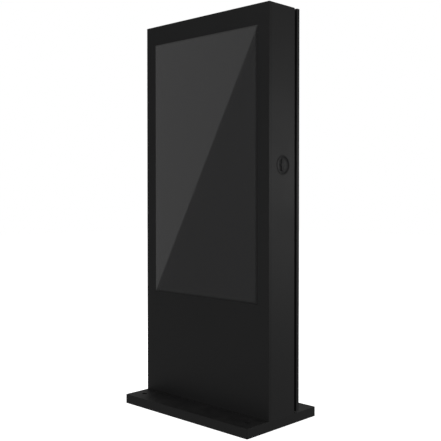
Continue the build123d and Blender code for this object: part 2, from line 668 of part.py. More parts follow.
def fan_frame(x):
    axis = (x, FAN_Z)
    frame = block(around(x, FAN_HALF), FAN_Y, around(FAN_Z, FAN_HALF))
    frame = fillet(frame.edges().filter_by(Axis.Y), 6)
    frame -= rod("y", FAN_BORE_R, FAN_Y, axis)
    frame += tube("y", (MOTOR_R, FAN_SHAFT_R + 0.05), MOTOR_Y, axis)
    for arm in struts(x, MOTOR_Y, (40, 3, 5)):
        frame += arm
    for corner_x in around(x, FAN_SCREW):
        for corner_z in around(FAN_Z, FAN_SCREW):
            frame -= rod("y", FAN_HOLE_R, FAN_Y, (corner_x, corner_z))
    return frame


def fan_guard(x):
    axis = (x, FAN_Z)
    guard = rod("y", 12, GUARD_Y, axis)
    for radius in GUARD_RINGS:
        guard += tube("y", (radius + GUARD_WIRE_HALF, radius - GUARD_WIRE_HALF), GUARD_Y, axis)
    for spoke in struts(x, GUARD_Y, (70, 1.5, 4)):
        guard += spoke
    return guard


def fans():
    plate_y = (FAN_Y[0] - SHEET, FAN_Y[0])
    under_top = TOP_Z - SHEET
    bracket = block(both(BRACKET_HALF_W), plate_y, (FAN_Z - BRACKET_BELOW, under_top))
    flange_y = (plate_y[0] - BRACKET_FLANGE, plate_y[1])
    bracket += block(both(BRACKET_HALF_W), flange_y, (under_top - SHEET, under_top))
    for name, x in (("left", -FAN_X), ("right", FAN_X)):
        bracket -= rod("y", FAN_BORE_R - 2, plate_y, (x, FAN_Z))
        keep("fan_frames", fan_frame(x))
        keep("fan_guards", fan_guard(x))
        keep(f"fan_rotor_{name}", fan_rotor(x))
    keep("fan_bracket", bracket)


# ---------------------------------------------------------------- wiring that the cabinet holds
CABLE_FIT = 0.05         # room between a cable and its clip
LARGEST_BEND = 60.0
POWER_D = 7.0
DISPLAY_POWER_D = 8.0
VIDEO_D = 6.0
TOUCH_D = 5.0
FAN_CABLE_D = 4.0
WALL_CLIP_Z = [700.0 + 180 * i for i in range(6)]
CLIP_HALF_H = 5.0


def cable(name, diameter, points):
    """A cable along straight runs joined by arcs as large as the two runs at each corner allow."""
    vectors = [Vector(*p) for p in points]
    radii = []
    for before, corner, after in zip(vectors, vectors[1:], vectors[2:]):
        turn = math.radians((corner - before).get_angle(after - corner))
        shorter = min((corner - before).length, (after - corner).length)
        radii.append(min(0.45 * shorter / math.tan(turn / 2), LARGEST_BEND))
    path = FilletPolyline(*vectors, radius=radii)
    start = Plane(origin=path @ 0, z_dir=path % 0)
    solid = sweep(start * Circle(diameter / 2), path=path)
    print(f"{name}: length {path.length:.0f}, radii {[round(r) for r in radii]}, "
          f"volume ratio {solid.volume / (math.pi * diameter ** 2 / 4 * path.length):.4f}")
    keep(name, solid)


def clip(solid, diameter, z, at):
    """A clip round an upright run of cable."""
    keep("cable_clips", solid - rod("z", diameter / 2 + CABLE_FIT, z, at))


def wiring():
    case_y = -14
    cable("cable_power", POWER_D,
          [(-182, 8, 262), (-182, 8, 300), (-220, case_y, 325), (-220, case_y, 360)])
    cable("cable_power", POWER_D,
          [(-60, case_y, 420), (-15, case_y, 420), (25, case_y, 395), (70, case_y, 395)])
    over_bar = CROSSBAR_Y[1] + 6
    clip_z = around(CROSSBAR_Z[0], CLIP_HALF_H)
    for name, diameter, start, x in (("cable_display_power", DISPLAY_POWER_D, (-150, -12, 460), -100),
                                     ("cable_video", VIDEO_D, (190, case_y, 470), 56)):
        up = (start[0], start[1], start[2] + 60)
        behind_display = [(x, over_bar, 630), (x, over_bar, 800), (x, -30, 835), (x, -30, COVER_Z[0])]
        cable(name, diameter, [start, up, *behind_display])
        clip(block(around(x, 8), (CROSSBAR_Y[1], over_bar + 7), clip_z), diameter, clip_z, (x, over_bar))
    cable("cable_touch", TOUCH_D, [(150, -56, TAIL_PLUG_Z), (150, -56, 512), (205, -22, 500), (300, -16, 470),
                                   (300, -16, 250), (260, -23, 210), (210, -23, 210)])

    wall_x = -INNER_W + 11
    wall_y = 20
    up_the_wall = [(-300, -12, 540), (wall_x, wall_y, 600), (wall_x, wall_y, 1640), (-360, 52, 1700)]
    cable("cable_fans", FAN_CABLE_D,
          [(-225, case_y, 460), (-225, case_y, 500), *up_the_wall, (-250, 60, 1740), (-190, 60, 1740)])
    cable("cable_fans", FAN_CABLE_D,
          [(-70, 60, 1740), (-35, 60, 1740), (0, 60, 1725), (35, 60, 1740), (70, 60, 1740)])
    for z in WALL_CLIP_Z:
        span = around(z, CLIP_HALF_H)
        clip(block((-INNER_W, wall_x + 5), around(wall_y, 6), span), FAN_CABLE_D, span, (wall_x, wall_y))


# ---------------------------------------------------------------- rear door
VENT_HALF_W = 250.0
VENTS_Z = ((130.0, 250.0), (1705.0, 1825.0))
VENT_BLADES = 9
VENT_BLADE_SIZE = (2 * VENT_HALF_W - 4, 15.0, 1.5)
VENT_BLADE_TILT = -38.0
VENT_FLANGE = 10.0
VENT_SLEEVE_D = 20.0
VENT_FIT = 0.3
FILTER_Y = (DOOR_REAR - 19.0, DOOR_REAR - 13.0)
GRILLE_SCREW_X = (-VENT_HALF_W - 5, -85.0, 85.0, VENT_HALF_W + 5)
STIFFENER_X = 200.0
STIFFENER_HALF_W = 25.0
STIFFENER_Z = (300.0, 1650.0)
KEEPER_Z = (260.0, 1040.0, 1300.0, 1740.0)
KEEPER_Y = 90.0          # the posts that the lock rods' hooks take hold of
KEEPER_HALF_H = 12.0
KEEPER_POST_R = 4.0
KEEPER_BASE_T = 3.0
EAR_T = 3.0
EAR_GAP = 3.0            # between the hook and the keeper's ears
HOOK_X = (356.0, 360.0)


def vent_grille(z):
    sleeve_y = (DOOR_REAR - VENT_SLEEVE_D, DOOR_REAR)
    outer_y = (sleeve_y[0], DOOR_REAR + SHEET)
    grille = block(both(VENT_HALF_W + VENT_FLANGE), (DOOR_REAR, DOOR_REAR + SHEET), inset(z, -VENT_FLANGE))
    grille = fillet(grille.edges().filter_by(Axis.Y), 6)
    grille += block(both(VENT_HALF_W - VENT_FIT), sleeve_y, inset(z, VENT_FIT))
    wall = VENT_FIT + SHEET
    clear_z = inset(z, wall)
    grille -= block(both(VENT_HALF_W - wall), outer_y, clear_z)
    pitch = (clear_z[1] - clear_z[0]) / VENT_BLADES
    for i in range(VENT_BLADES):
        at = Pos(0, DOOR_REAR - 5, clear_z[0] + pitch * (i + 0.5))
        grille += at * Rot(VENT_BLADE_TILT, 0, 0) * Box(*VENT_BLADE_SIZE)
    return grille


def grille_screw(at):
    face = DOOR_REAR + SHEET
    head = rod("y", 3.2, (face, face + 1.6), at)
    head = fillet(head.edges().group_by(Axis.Y)[-1], 1.2)
    return head - hexagon("y", 2.2, (face + 0.8, face + 1.6), at)


def door_keeper(z):
    """A post between two ears on the door's skin."""
    skin = DOOR_REAR - SHEET
    span_z = around(z, KEEPER_HALF_H)
    ears = [(HOOK_X[0] - EAR_GAP - EAR_T, HOOK_X[0] - EAR_GAP),
            (HOOK_X[1] + EAR_GAP, HOOK_X[1] + EAR_GAP + EAR_T)]
    keeper = block((ears[0][0] - 8, ears[1][1] + 4), (skin - KEEPER_BASE_T, skin), span_z)
    for ear in ears:
        keeper += block(ear, (KEEPER_Y - 6, skin - KEEPER_BASE_T), span_z)
    return keeper + rod("x", KEEPER_POST_R, (ears[0][0], ears[1][1]), (KEEPER_Y, z))


def rear_door():
    """A hollow pan of two skins with an inner lip, the vents and what is fixed to the door."""
    z = (DOOR_BOTTOM, TOP_Z)
    door = block(both(HALF_W), (DOOR_FRONT, DOOR_REAR), z)
    door = fillet(door.edges().group_by(Axis.Y)[-1], FOLD_R)
    door -= block(both(INNER_W), inset((DOOR_FRONT, DOOR_REAR), SHEET), inset(z, SHEET))
    door -= block(both(LIP_X), (DOOR_FRONT, DOOR_FRONT + SHEET), inset(z, LIP))
    for vent_z in VENTS_Z:
        door -= block(both(VENT_HALF_W), (DOOR_REAR - SHEET, DOOR_REAR), vent_z)
        keep("vent_grilles", vent_grille(vent_z))
        keep("filter_mats", block(both(VENT_HALF_W - 3), FILTER_Y, inset(vent_z, 3)))
        for x in GRILLE_SCREW_X:
            for screw_z in inset(vent_z, -VENT_FLANGE / 2):
                keep("grille_screws", grille_screw((x, screw_z)))
    keep("rear_door", door)

    for x in both(STIFFENER_X):
        start, end = inset((DOOR_FRONT, DOOR_REAR), SHEET)
        stiffener = block(around(x, STIFFENER_HALF_W), (start, end), STIFFENER_Z)
        stiffener -= block(around(x, STIFFENER_HALF_W - SHEET), (start + SHEET, end), STIFFENER_Z)
        keep("door_stiffeners", stiffener)
    for keeper_z in KEEPER_Z:
        keep("door_keepers", door_keeper(keeper_z))


# ---------------------------------------------------------------- hinges
HINGES_Z = (240.0, 960.0, 1680.0)
KNUCKLE = 22.0
KNUCKLE_GAP = 0.3
LEAF_T = 2.0
LEAF_REACH = 17.0
PIN_HEAD = (4.6, 3.0)    # radius, height
PIN_FOOT = 2.0           # how far the pin stands out below


def hinge(z):
    """A three-knuckle hinge: two knuckles on the body, one on the door, and a headed pin."""
    at = (HINGE_X, HINGE_Y)
    leaf_z = around(z, 1.5 * KNUCKLE)
    middle = around(z, 0.5 * KNUCKLE)
    bore = rod("z", HINGE_PIN_R + 0.05, inset(leaf_z, -KNUCKLE), at)
    clear_x = (HINGE_X + HINGE_R + 1, HINGE_X + LEAF_REACH)
    full_x = (HINGE_X, HINGE_X + LEAF_REACH)
    neck_x = (HINGE_X - 2, HINGE_X + 4)

    body_y = (BODY_REAR, BODY_REAR + LEAF_T)
    body = block(clear_x, body_y, leaf_z)
    for end in ((leaf_z[0], middle[0] - KNUCKLE_GAP), (middle[1] + KNUCKLE_GAP, leaf_z[1])):
        body += block(full_x, body_y, end)
        body += block(neck_x, (BODY_REAR, HINGE_Y - 3), end)
        body += rod("z", HINGE_R, end, at)
    keep("hinge_body_leaves", body - bore)

    door_y = (DOOR_FRONT - LEAF_T, DOOR_FRONT)
    door = block(clear_x, door_y, leaf_z)
    door += block(full_x, door_y, middle)
    door += block(neck_x, (HINGE_Y + 3, DOOR_FRONT), middle)
    door += rod("z", HINGE_R, middle, at)
    keep("hinge_door_leaves", door - bore)

    pin = rod("z", HINGE_PIN_R, (leaf_z[0] - PIN_FOOT, leaf_z[1]), at)
    keep("hinge_pins", pin + rod("z", PIN_HEAD[0], (leaf_z[1], leaf_z[1] + PIN_HEAD[1]), at))


# ---------------------------------------------------------------- lock
DISH_DEPTH = 14.0
DISH_R = 29.0            # floor of the dish, which widens to the side panel
CUP_WALL = 2.0
CUP_BEVEL = 1.5
GRIP_HALF = 28.0
GRIP_HALF_W = 9.0
GRIP_HUB_R = 12.5
GRIP_PROUD = 0.5
KEY_R = 6.0
KEY_PROUD = 0.8
KEY_SLOT_HALF = (0.9, 4.0)
SHAFT_R = 8.0
SQUARE_HALF = 4.0        # square spindle between the cam and the handle
CAM_X = (362.0, 366.0)
CAM_R = 25.0
PIN_R = 4.0
SLOT_CLEARANCE = 0.9
ROD_HALF_W = 5.0
ROD_Y = 15.0
GUIDES = {1: (1240.0, 1500.0, 1795.0), -1: (1096.0, 700.0, 165.0)}
GUIDE_HALF_W = 11.0
GUIDE_T = 1.5
ROD_ENDS = {1: 1812.0, -1: 118.0}
HOOK_END_Y = 101.0
HOOK_R = 4.5             # mouth of the hook, which goes over a keeper's post
PIN_REACH = ROD_THROW_R * math.cos(math.radians(45))
DISH_FLOOR_X = HALF_W - DISH_DEPTH


def lock_rod(side):
    """side 1 is the upper rod, which rises to lock; side -1 the lower rod, which drops to lock."""
    def span_z(near, far):
        return tuple(sorted((LOCK_Z + side * near, LOCK_Z + side * far)))

    y = side * ROD_Y
    pin_z = -PIN_REACH
    bar = block(HOOK_X, around(y, ROD_HALF_W), span_z(pin_z + 6, side * (ROD_ENDS[side] - LOCK_Z)))
    bar += block(HOOK_X, on_side(side, 3, 28), span_z(pin_z - 10, pin_z + 10))
    slot_half = (ROD_THROW_R - PIN_REACH) / 2 + PIN_R + SLOT_CLEARANCE
    bar -= block(HOOK_X, around(side * (PIN_REACH + ROD_THROW_R) / 2, slot_half),
                 span_z(pin_z - PIN_R - SLOT_CLEARANCE, pin_z + PIN_R + SLOT_CLEARANCE))
    for keeper_z in KEEPER_Z:
        post = side * (keeper_z - LOCK_Z)
        if post > 0:
            bar += hook(y + ROD_HALF_W, post - ROD_TRAVEL, side, span_z)
    return bar


def hook(start_y, near, side, span_z):
    """A plate with an open mouth that ends round the post when the rod has made its travel."""
    seat = near - 0.8
    plate = block(HOOK_X, (start_y - 1, HOOK_END_Y), span_z(near - 18, near + 14))
    plate -= rod("x", HOOK_R, HOOK_X, (KEEPER_Y, LOCK_Z + side * seat))
    plate -= block(HOOK_X, around(KEEPER_Y, HOOK_R), span_z(seat, near + 14))
    plate -= block(HOOK_X, (start_y + 12, KEEPER_Y - 14), span_z(near + 2, near + 14))
    return plate


def turn_handle():
    """The dished cup, the turning grip with its shaft, and the key cylinder in the grip."""
    axis = (0, LOCK_Z)
    rim = HALF_W + CUP_PROUD
    back = DISH_FLOOR_X - CUP_WALL
    cup = cone("x", (CUP_FLANGE_R, CUP_FLANGE_R - CUP_BEVEL), (HALF_W, rim), axis)
    cup += cone("x", (DISH_R + CUP_WALL, CUP_BODY_R), (back, HALF_W), axis)
    cup -= cone("x", (DISH_R, CUP_BODY_R - CUP_WALL / 2), (DISH_FLOOR_X, rim), axis)
    cup -= rod("x", SHAFT_R + FIT, (back, DISH_FLOOR_X), axis)
    keep("lock_cup", cup)

    lift = 1.0           # the grip's height over the floor of the dish
    grip_x = (DISH_FLOOR_X + lift, HALF_W + GRIP_PROUD)
    end_z = around(LOCK_Z, GRIP_HALF - GRIP_HALF_W)
    grip = block(grip_x, both(GRIP_HALF_W), end_z)
    for z in end_z:
        grip += rod("x", GRIP_HALF_W, grip_x, (0, z))
    grip += rod("x", GRIP_HUB_R, grip_x, axis)
    grip = fillet(grip.edges().group_by(Axis.X)[-1], 1.5)
    shaft_end = CAM_X[1] + 6
    square = SQUARE_HALF + 0.05
    grip += rod("x", SHAFT_R, (shaft_end, grip_x[0]), axis)
    grip -= block((shaft_end, DISH_FLOOR_X), both(square), around(LOCK_Z, square))
    grip -= rod("x", KEY_R + FIT, (DISH_FLOOR_X + 2, rim), axis)
    keep("turn_handle", grip)

    key_end = HALF_W + KEY_PROUD
    key = rod("x", KEY_R, (DISH_FLOOR_X + 2.5, key_end), axis)
    key = fillet(key.edges().group_by(Axis.X)[-1], 0.6)
    key -= block((HALF_W - 8, key_end), both(KEY_SLOT_HALF[0]), around(LOCK_Z, KEY_SLOT_HALF[1]))
    keep("key_cylinder", key)


def lock():
    turn_handle()
    axis = (0, LOCK_Z)
    back = DISH_FLOOR_X - CUP_WALL
    body_start = CAM_X[1] + 3
    body = block((body_start, INNER_W), both(CLAMP_HALF), around(LOCK_Z, CLAMP_HALF))
    body = fillet(body.edges().filter_by(Axis.X), 5)
    body -= rod("x", CUP_BODY_R + 0.3, (back, INNER_W), axis)
    body -= rod("x", SHAFT_R + 0.06, (body_start, back), axis)
    keep("lock_body", body)

    cam = rod("x", CAM_R, CAM_X, axis)
    cam += block((CAM_X[0], DISH_FLOOR_X - 1), both(SQUARE_HALF), around(LOCK_Z, SQUARE_HALF))
    for side in (-1, 1):
        cam += rod("x", PIN_R, (HOOK_X[0] - 2, CAM_X[0]), (side * PIN_REACH, LOCK_Z - side * PIN_REACH))
    keep("lock_cam", cam)

    keep("lock_rod_upper", lock_rod(1))
    keep("lock_rod_lower", lock_rod(-1))
    for side, heights in GUIDES.items():
        for z in heights:
            keep("lock_rod_guides", rod_guide(side * ROD_Y, z))


def rod_guide(y, z):
    """A bracket on the side panel with a slot that the rod slides through."""
    room = 0.5
    guide = block((HOOK_X[0] - 8, INNER_W), around(y, GUIDE_HALF_W), around(z, GUIDE_T))
    guide -= block(inset(HOOK_X, -room), around(y, ROD_HALF_W + room), around(z, GUIDE_T))
    return guide + block((INNER_W - 3, INNER_W), around(y, GUIDE_HALF_W), around(z, 14))


def write():
    os.makedirs("parts", exist_ok=True)
    for name, solids in nodes.items():
        flat = [solid for shape in solids for solid in shape.solids()]
        shape = flat[0] if len(flat) == 1 else Compound(children=flat)
        export_step(shape, f"parts/{name}.step")
    print(f"{len(nodes)} nodes, rod travel {ROD_TRAVEL:.3f}, hinge axis ({HINGE_X:.2f}, {HINGE_Y:.2f})")


plinth()
cabinet()
front()
lcd_chassis()
lcd_rear_cover()
display_mounts()
equipment()
fans()
wiring()
rear_door()
for height in HINGES_Z:
    hinge(height)
lock()
write()
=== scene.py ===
import json
import math

import bpy
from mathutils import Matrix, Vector, noise


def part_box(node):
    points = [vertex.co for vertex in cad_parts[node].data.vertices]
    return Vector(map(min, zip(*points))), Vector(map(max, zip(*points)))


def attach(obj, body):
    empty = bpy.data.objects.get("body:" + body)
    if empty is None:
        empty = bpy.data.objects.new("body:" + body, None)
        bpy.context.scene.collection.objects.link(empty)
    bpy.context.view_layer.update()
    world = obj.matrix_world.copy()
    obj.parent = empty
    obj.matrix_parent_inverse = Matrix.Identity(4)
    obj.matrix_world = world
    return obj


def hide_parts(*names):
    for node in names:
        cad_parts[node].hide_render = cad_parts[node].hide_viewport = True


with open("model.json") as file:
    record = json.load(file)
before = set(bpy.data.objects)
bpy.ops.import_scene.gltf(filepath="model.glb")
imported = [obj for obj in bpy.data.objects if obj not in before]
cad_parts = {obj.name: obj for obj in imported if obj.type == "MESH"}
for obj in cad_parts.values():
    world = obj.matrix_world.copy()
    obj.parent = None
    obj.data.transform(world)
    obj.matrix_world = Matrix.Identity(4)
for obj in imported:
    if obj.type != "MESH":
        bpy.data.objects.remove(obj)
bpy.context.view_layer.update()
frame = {"nodes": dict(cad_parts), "record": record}
nodes = frame["nodes"]

MM = 0.001

SCREEN_GREY = (0.0142, 0.0142, 0.0145)
CASING = (0.0125, 0.0125, 0.0127)
BEZEL = (0.0120, 0.0120, 0.0122)
LOCK_RIM = (0.0115, 0.0115, 0.0117)
# painted light: a pale colour for the lock's dish floor that offsets the shade down in the dish
LOCK_DISH_PAINTED_LIGHT = (0.15, 0.15, 0.152)
# print black, also used as painted shade along the glass's right, top and bottom edges
PRINT_AND_SHADE_BLACK = (0.002, 0.002, 0.002)
AMBIENT = 0.25           # brightness of the studio's surroundings, as the object sees them


# ---------------------------------------------------------------- material helper
class Surface:
    """One procedural material: a Principled shader and helper nodes, mapped in the model's own metres."""

    def __init__(self, name, colour, roughness, metallic=0.0, specular=0.5):
        self.material = bpy.data.materials.new(name)
        self.material.use_nodes = True
        self.tree = self.material.node_tree
        self.shader = self.tree.nodes["Principled BSDF"]
        self.place = self.tree.nodes.new("ShaderNodeTexCoord").outputs["Object"]
        self.normal = None
        self.shader.inputs["Base Color"].default_value = (*colour, 1)
        self.shader.inputs["Roughness"].default_value = roughness
        self.shader.inputs["Metallic"].default_value = metallic
        self.shader.inputs["Specular IOR Level"].default_value = specular

    def node(self, kind, settings=None, **inputs):
        made = self.tree.nodes.new(kind)
        for key, value in (settings or {}).items():
            setattr(made, key, value)
        for key, value in inputs.items():
            socket = made.inputs[int(key[1:])] if key[1:].isdigit() else made.inputs[key.replace("_", " ")]
            if isinstance(value, bpy.types.NodeSocket):
                self.tree.links.new(value, socket)
            else:
                socket.default_value = value
        return made

    def noise(self, size, detail=2.0, stretch=None, roughness=0.5):
        """Noise whose features are about size metres across, 0 to 1."""
        place = self.place
        if stretch:
            place = self.node("ShaderNodeMapping", {}, Vector=place, Scale=stretch).outputs[0]
        return self.node("ShaderNodeTexNoise", {}, Vector=place, Scale=1 / size, Detail=detail,
                         Roughness=roughness).outputs[0]

    def cells(self, size, feature="F1"):
        """Cells about size metres across."""
        return self.node("ShaderNodeTexVoronoi", {"feature": feature}, Vector=self.place, Scale=1 / size)

    def math(self, operation, a, b):
        return self.node("ShaderNodeMath", {"operation": operation}, i0=a, i1=b).outputs[0]

    def range(self, value, low_in, high_in, low_out, high_out, smooth=False):
        kind = "SMOOTHSTEP" if smooth else "LINEAR"
        made = self.node("ShaderNodeMapRange", {"interpolation_type": kind}, Value=value)
        ends = {"From Min": low_in, "From Max": high_in, "To Min": low_out, "To Max": high_out}
        for key, number in ends.items():
            made.inputs[key].default_value = number
        return made.outputs[0]

    def blend(self, share, first, second):
        """A colour between two colours, by a 0 to 1 value."""
        made = self.node("ShaderNodeMix", {"data_type": "RGBA"}, Factor=share)
        for socket, colour in ((made.inputs[6], first), (made.inputs[7], second)):
            if isinstance(colour, bpy.types.NodeSocket):
                self.tree.links.new(colour, socket)
            else:
                socket.default_value = (*colour, 1)
        return made.outputs[2]

    def paint(self, name, value):
        self.tree.links.new(value, self.shader.inputs[name])

    def edges(self, radius):
        """0 on flat faces and up to 1 at sharp edges, within radius metres."""
        rounded = self.node("ShaderNodeBevel", {"samples": 6}, Radius=radius).outputs[0]
        flat = self.node("ShaderNodeNewGeometry").outputs["Normal"]
        likeness = self.node("ShaderNodeVectorMath", {"operation": "DOT_PRODUCT"}, i0=rounded, i1=flat)
        return self.range(likeness.outputs["Value"], 0.98, 0.75, 0.0, 1.0)

    def soften(self, radius):
        """Catches light along sharp edges as a small rounding would."""
        self.normal = self.node("ShaderNodeBevel", {"samples": 6}, Radius=radius).outputs[0]

    def bump(self, height, depth):
        """Relief of depth metres from a 0 to 1 height."""
        made = self.node("ShaderNodeBump", {}, Height=height, Strength=1.0, Distance=depth)
        if self.normal:
            self.tree.links.new(self.normal, made.inputs["Normal"])
        self.normal = made.outputs[0]

    def done(self):
        if self.normal:
            self.paint("Normal", self.normal)
        return self.material


def lighter(colour, factor):
    return tuple(min(1.0, channel * factor) for channel in colour)


# ---------------------------------------------------------------- materials
def powder_coat(name, colour, roughness, grain, relief, specular=0.42):
    """Sprayed and baked paint: fine pebble relief, faint blotches, dust on top faces and rubbed edges."""
    s = Surface(name, colour, roughness, specular=specular)
    blotch = s.noise(0.35, detail=4)
    speckle = s.noise(0.6 * grain, detail=1)
    base = s.blend(s.range(blotch, 0.3, 0.7, 0, 1), lighter(colour, 0.9), lighter(colour, 1.12))
    base = s.blend(s.range(speckle, 0.62, 0.78, 0, 0.5), base, lighter(colour, 1.9))
    facing = s.node("ShaderNodeNewGeometry").outputs["Normal"]
    upward = s.node("ShaderNodeSeparateXYZ", {}, i0=facing).outputs[2]
    drift = s.range(s.noise(0.05, detail=5), 0.35, 0.75, 0, 1)
    dust = s.math("MULTIPLY", s.range(upward, 0.6, 1.0, 0, 0.06), drift)
    base = s.blend(dust, base, (0.16, 0.155, 0.15))
    worn = s.math("MULTIPLY", s.edges(0.8 * MM), s.range(s.noise(0.03, detail=6), 0.45, 0.7, 0, 0.5))
    base = s.blend(worn, base, lighter(colour, 2.0))
    s.paint("Base Color", base)
    matt = s.range(blotch, 0.3, 0.7, roughness - 0.04, roughness + 0.05)
    s.paint("Roughness", s.math("SUBTRACT", matt, s.math("MULTIPLY", worn, 0.15)))
    s.soften(0.8 * MM)
    pebble = s.math("ADD", s.noise(grain, detail=2), s.math("MULTIPLY", s.cells(1.7 * grain).outputs[0], 0.6))
    s.bump(pebble, relief)
    return s.done()


def screen_glass():
    """Glass bonded over a switched-off display, with a black line along its edge, printed and widened on the
    right, top and bottom into painted shade, and faint smears.
    """
    s = Surface("cover_glass", (0.012, 0.012, 0.013), 0.03, specular=0.5)
    s.shader.inputs["IOR"].default_value = 1.52
    left, right, bottom, top = picture_area()
    x, _, z = s.node("ShaderNodeSeparateXYZ", {}, i0=s.place).outputs
    side = s.math("MINIMUM", s.math("SUBTRACT", right, x), s.math("SUBTRACT", x, left))
    height = s.math("MINIMUM", s.math("SUBTRACT", top, z), s.math("SUBTRACT", z, bottom))
    inside = s.range(s.math("MINIMUM", side, height), -0.3 * MM, 0.3 * MM, 0, 1)
    panel = s.blend(s.noise(0.5, detail=2), SCREEN_GREY, lighter(SCREEN_GREY, 1.1))
    # the black edge line: print at the narrow left edge, painted shade where it is widened on the right, top
    # and bottom
    s.paint("Base Color", s.blend(inside, PRINT_AND_SHADE_BLACK, panel))
    smear = s.noise(0.09, detail=6, stretch=(1.0, 1.0, 0.45), roughness=0.62)
    touched = s.range(smear, 0.52, 0.74, 0.0, 1.0, smooth=True)
    s.paint("Roughness", s.range(touched, 0, 1, 0.028, 0.085))
    s.bump(s.noise(0.4, detail=1), 0.05 * MM)
    return s.done()


def zinc_plate(name, colour=(0.56, 0.57, 0.59), roughness=0.42):
    """Galvanised sheet: soft spangle, fine rolling lines and a few dull patches."""
    s = Surface(name, colour, roughness, metallic=1.0)
    spangle = s.cells(7 * MM)
    tone = s.node("ShaderNodeSeparateXYZ", {}, i0=spangle.outputs["Color"]).outputs[0]
    cloud = s.noise(0.06, detail=5)
    base = s.blend(s.range(tone, 0, 1, 0, 0.7), lighter(colour, 0.86), lighter(colour, 1.08))
    base = s.blend(s.range(cloud, 0.5, 0.72, 0, 0.5), base, lighter(colour, 0.62))
    s.paint("Base Color", base)
    s.paint("Roughness", s.range(s.math("ADD", tone, cloud), 0.2, 1.6, roughness - 0.1, roughness + 0.16))
    s.soften(0.6 * MM)
    s.bump(s.noise(0.9 * MM, detail=2, stretch=(1, 1, 0.05)), 0.012 * MM)
    return s.done()


def plated_steel(name, colour, roughness):
    """Small turned or formed steel parts with fine scratches and uneven tone."""
    s = Surface(name, colour, roughness, metallic=1.0)
    scratch = s.noise(0.5 * MM, detail=3, stretch=(1, 0.1, 1))
    s.paint("Base Color", s.blend(s.noise(4 * MM, detail=3), lighter(colour, 0.8), lighter(colour, 1.1)))
    s.paint("Roughness", s.range(scratch, 0.3, 0.7, roughness - 0.08, roughness + 0.12))
    s.soften(0.35 * MM)
    s.bump(scratch, 0.01 * MM)
    return s.done()


def brushed_aluminium(name, colour, roughness):
    """Extruded case with brushing along X and a clear anodised sheen."""
    s = Surface(name, colour, roughness, metallic=1.0)
    line = s.noise(0.35 * MM, detail=3, stretch=(0.02, 1, 1))
    s.paint("Base Color", s.blend(line, lighter(colour, 0.86), lighter(colour, 1.1)))
    s.paint("Roughness", s.range(line, 0.3, 0.7, roughness - 0.06, roughness + 0.1))
    s.soften(0.5 * MM)
    s.bump(line, 0.012 * MM)
    return s.done()


def moulded_plastic(name, colour, roughness):
    """Injection moulding: spark-eroded grain, faint flow marks, polished edges."""
    s = Surface(name, colour, roughness, specular=0.45)
    flow = s.noise(0.02, detail=4)
    worn = s.edges(0.6 * MM)
    base = s.blend(s.range(flow, 0.3, 0.7, 0, 1), lighter(colour, 0.88), lighter(colour, 1.12))
    s.paint("Base Color", s.blend(s.math("MULTIPLY", worn, 0.3), base, lighter(colour, 1.7)))
    s.paint("Roughness", s.math("SUBTRACT", s.range(flow, 0.3, 0.7, roughness - 0.04, roughness + 0.06),
                                s.math("MULTIPLY", worn, 0.12)))
    s.soften(0.4 * MM)
    s.bump(s.noise(0.7 * MM, detail=3), 0.03 * MM)
    return s.done()


def rubber(name, colour, roughness, grain):
    """Matt rubber, slightly bloomed, with a pitted skin."""
    s = Surface(name, colour, roughness, specular=0.3)
    bloom = s.noise(0.03, detail=5)
    s.paint("Base Color", s.blend(s.range(bloom, 0.45, 0.75, 0, 0.6), colour, lighter(colour, 2.2)))
    s.paint("Roughness", s.range(bloom, 0.3, 0.7, roughness - 0.05, roughness + 0.08))
    s.shader.inputs["Sheen Weight"].default_value = 0.15
    pits = s.cells(grain).outputs[0]
    s.bump(s.range(pits, 0.0, 0.5, 0, 1), 0.06 * MM)
    return s.done()


def filter_mat():
    """Open-cell filter: a net of fibres over dark pores, greyer where air has left dust."""
    s = Surface("filter_foam", (0.045, 0.045, 0.047), 0.95, specular=0.15)
    pores = s.cells(2.6 * MM, feature="DISTANCE_TO_EDGE").outputs[0]
    fibre = s.range(pores, 0.02, 0.16, 1.0, 0.0)
    dust = s.range(s.noise(0.04, detail=6), 0.4, 0.75, 0, 0.7)
    strand = s.blend(dust, (0.055, 0.055, 0.058), (0.13, 0.12, 0.11))
    s.paint("Base Color", s.blend(fibre, (0.006, 0.006, 0.007), strand))
    s.bump(fibre, 0.8 * MM)
    return s.done()


def cable_sheath():
    """Soft black sheath with a fine matt skin and paler scuffs."""
    s = Surface("cable_sheath", (0.014, 0.014, 0.015), 0.5, specular=0.4)
    scuff = s.noise(9 * MM, detail=6)
    scuffed = s.range(scuff, 0.55, 0.8, 0, 0.6)
    s.paint("Base Color", s.blend(scuffed, (0.013, 0.013, 0.014), (0.04, 0.04, 0.041)))
    s.paint("Roughness", s.range(scuff, 0.3, 0.7, 0.42, 0.62))
    s.bump(s.noise(0.6 * MM, detail=2), 0.03 * MM)
    return s.done()


def dark_display(name, colour, roughness):
    """A display layer that is switched off: very dark, with a fine anti-glare grain."""
    s = Surface(name, colour, roughness, specular=0.4)
    s.paint("Base Color", s.blend(s.noise(0.2, detail=2), colour, lighter(colour, 1.3)))
    s.bump(s.noise(0.3 * MM, detail=1), 0.01 * MM)
    return s.done()


def picture_area():
    """Left, right, bottom and top of the dark grey field inside the glass's black edge line, which is print
    widened into painted shade on the right, top and bottom.
    """
    low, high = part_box("glass_gasket")
    hidden = 5 * MM      # how far the gasket reaches behind the bezel
    left, right, bottom, top = 1 * MM, 13 * MM, 8 * MM, 6 * MM      # widths of the black edge line: print, widened on the right, top and bottom as painted shade
    return (low.x + hidden + left, high.x - hidden - right,
            low.z + hidden + bottom, high.z - hidden - top)


